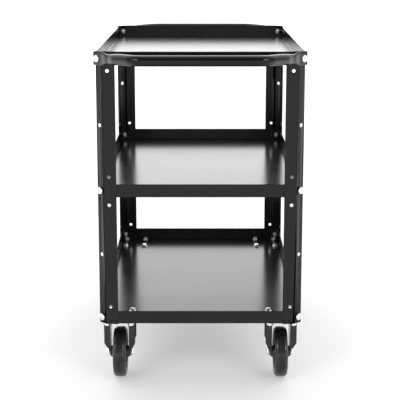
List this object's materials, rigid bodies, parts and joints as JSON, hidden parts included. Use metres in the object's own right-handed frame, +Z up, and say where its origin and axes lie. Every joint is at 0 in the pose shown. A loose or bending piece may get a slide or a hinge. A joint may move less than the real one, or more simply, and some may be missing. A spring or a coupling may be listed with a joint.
{
  "type": "tool cart",
  "caption": "Rolling steel cart with stacked tray shelves on bent corner posts, a tube handle at each end, fixed casters in front and braked swivel casters behind.",
  "frame": {"origin": "on the floor, under the centre of the cart's box", "axes": "+Z up, +Y along the cart from the fixed casters to the swivel casters, +X across it to the right"},
  "size_m": [0.505, 0.995, 0.8245],
  "materials": {
    "black_powder_coat": "semi-gloss black powder coat",
    "black_caster_steel": "black painted pressed steel",
    "zinc_fastener": "bright zinc plate",
    "wheel_core": "moulded dark nylon",
    "tread_rubber": "solid dark grey rubber"
  },
  "bodies": {
    "frame": {"post_front_left": "black_powder_coat", "post_front_right": "black_powder_coat", "post_rear_left": "black_powder_coat", "post_rear_right": "black_powder_coat", "tray_bottom": "black_powder_coat", "tray_middle": "black_powder_coat", "tray_top": "black_powder_coat", "handle_front": "black_powder_coat", "handle_rear": "black_powder_coat", "corner_bolt_front_left_bottom": "zinc_fastener", "corner_bolt_front_left_middle": "zinc_fastener", "corner_bolt_front_left_top": "zinc_fastener", "corner_bolt_front_right_bottom": "zinc_fastener", "corner_bolt_front_right_middle": "zinc_fastener", "corner_bolt_front_right_top": "zinc_fastener", "corner_bolt_rear_left_bottom": "zinc_fastener", "corner_bolt_rear_left_middle": "zinc_fastener", "corner_bolt_rear_left_top": "zinc_fastener", "corner_bolt_rear_right_bottom": "zinc_fastener", "corner_bolt_rear_right_middle": "zinc_fastener", "corner_bolt_rear_right_top": "zinc_fastener", "caster_bolt_front_left_1": "zinc_fastener", "caster_bolt_front_left_2": "zinc_fastener", "caster_bolt_front_left_3": "zinc_fastener", "caster_bolt_front_left_4": "zinc_fastener", "caster_bolt_front_right_1": "zinc_fastener", "caster_bolt_front_right_2": "zinc_fastener", "caster_bolt_front_right_3": "zinc_fastener", "caster_bolt_front_right_4": "zinc_fastener", "caster_bolt_rear_left_1": "zinc_fastener", "caster_bolt_rear_left_2": "zinc_fastener", "caster_bolt_rear_left_3": "zinc_fastener", "caster_bolt_rear_left_4": "zinc_fastener", "caster_bolt_rear_right_1": "zinc_fastener", "caster_bolt_rear_right_2": "zinc_fastener", "caster_bolt_rear_right_3": "zinc_fastener", "caster_bolt_rear_right_4": "zinc_fastener", "fixed_bracket_left": "black_caster_steel", "fixed_bracket_right": "black_caster_steel", "swivel_plate_left": "black_caster_steel", "swivel_plate_right": "black_caster_steel", "kingpin_left": "zinc_fastener", "kingpin_right": "zinc_fastener", "axle_front_left": "zinc_fastener", "axle_front_right": "zinc_fastener"},
    "wheel_front_left": {"hub_front_left": "wheel_core", "tyre_front_left": "tread_rubber"},
    "wheel_front_right": {"hub_front_right": "wheel_core", "tyre_front_right": "tread_rubber"},
    "fork_rear_left": {"swivel_fork_left": "black_caster_steel", "axle_rear_left": "zinc_fastener"},
    "wheel_rear_left": {"hub_rear_left": "wheel_core", "tyre_rear_left": "tread_rubber"},
    "brake_rear_left": {"brake_pedal_left": "black_caster_steel"},
    "fork_rear_right": {"swivel_fork_right": "black_caster_steel", "axle_rear_right": "zinc_fastener"},
    "wheel_rear_right": {"hub_rear_right": "wheel_core", "tyre_rear_right": "tread_rubber"},
    "brake_rear_right": {"brake_pedal_right": "black_caster_steel"}
  },
  "joints": [
    {"name": "wheel_front_left_spin", "type": "hinge", "parent": "frame", "child": "wheel_front_left", "pos_m": [-0.201, -0.34, 0.0625], "axis": [1, 0, 0], "continuous": true},
    {"name": "wheel_front_right_spin", "type": "hinge", "parent": "frame", "child": "wheel_front_right", "pos_m": [0.201, -0.34, 0.0625], "axis": [1, 0, 0], "continuous": true},
    {"name": "fork_rear_left_swivel", "type": "hinge", "parent": "frame", "child": "fork_rear_left", "pos_m": [-0.201, 0.34, 0.14], "axis": [0, 0, 1], "continuous": true},
    {"name": "wheel_rear_left_spin", "type": "hinge", "parent": "fork_rear_left", "child": "wheel_rear_left", "pos_m": [-0.201, 0.377, 0.0625], "axis": [1, 0, 0], "continuous": true},
    {"name": "brake_rear_left_press", "type": "hinge", "parent": "fork_rear_left", "child": "brake_rear_left", "pos_m": [-0.201, 0.392, 0.1305], "axis": [-1, 0, 0], "range_deg": [0, 14]},
    {"name": "fork_rear_right_swivel", "type": "hinge", "parent": "frame", "child": "fork_rear_right", "pos_m": [0.201, 0.34, 0.14], "axis": [0, 0, 1], "continuous": true},
    {"name": "wheel_rear_right_spin", "type": "hinge", "parent": "fork_rear_right", "child": "wheel_rear_right", "pos_m": [0.201, 0.377, 0.0625], "axis": [1, 0, 0], "continuous": true},
    {"name": "brake_rear_right_press", "type": "hinge", "parent": "fork_rear_right", "child": "brake_rear_right", "pos_m": [0.201, 0.392, 0.1305], "axis": [-1, 0, 0], "range_deg": [0, 14]}
  ]
}
